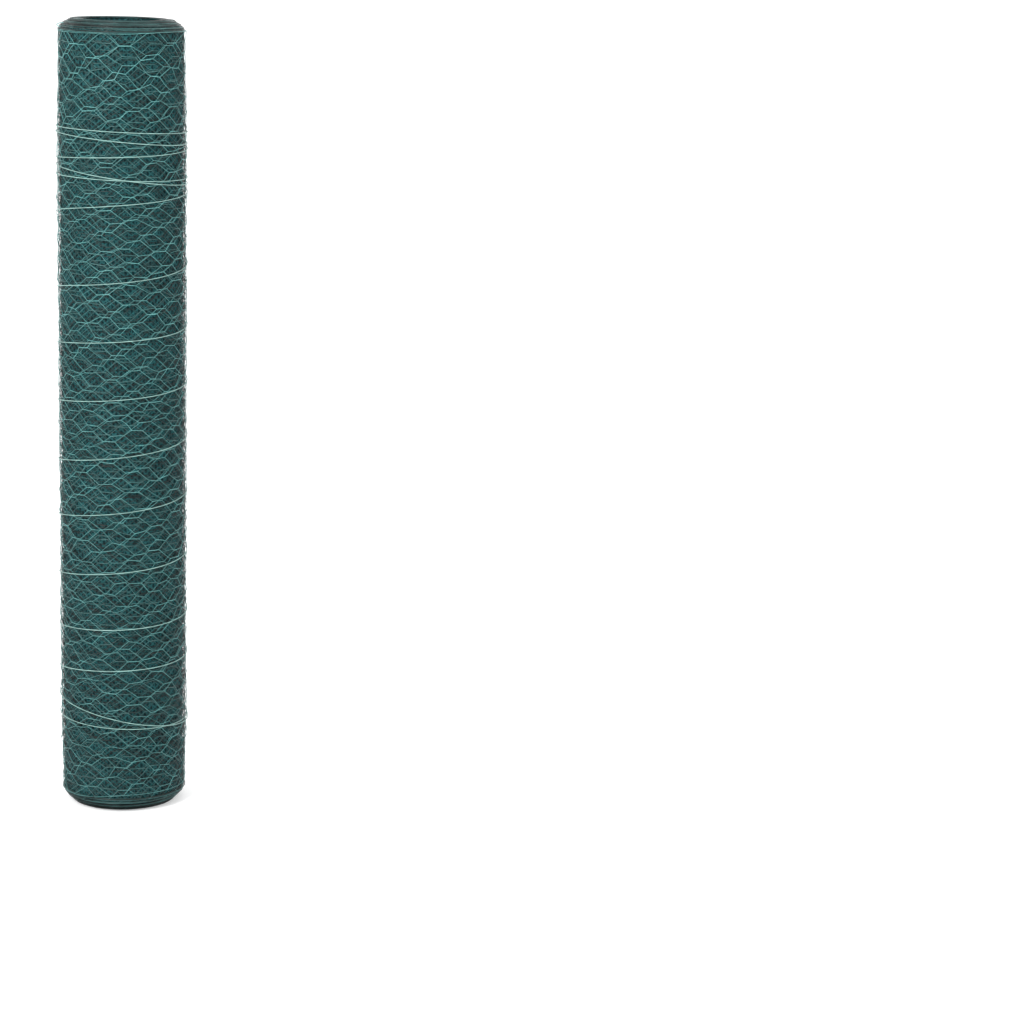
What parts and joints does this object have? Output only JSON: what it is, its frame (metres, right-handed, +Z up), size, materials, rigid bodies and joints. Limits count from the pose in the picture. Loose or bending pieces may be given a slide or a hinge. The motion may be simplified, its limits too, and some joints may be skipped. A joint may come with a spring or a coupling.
{
  "type": "wire mesh fence roll",
  "caption": "Upright roll of green coated hexagonal wire netting for a mesh fence, open at its core and tied round with thin wire.",
  "frame": {"origin": "centre of the roll's lower end, on the floor that it stands on", "axes": "+Z up along the roll's axis, through its bore; -Y is the side seen first, where the tie wire rises from left to right"},
  "size_m": [0.1644, 0.1658, 1],
  "materials": {
    "netting_green": "semi-gloss green plastic coat on thin steel wire",
    "binding_green": "pale grey-green coated tie wire, satin"
  },
  "bodies": {
    "root": {"netting_roll": "netting_green", "binding_wire": "binding_green"}
  },
  "joints": []
}
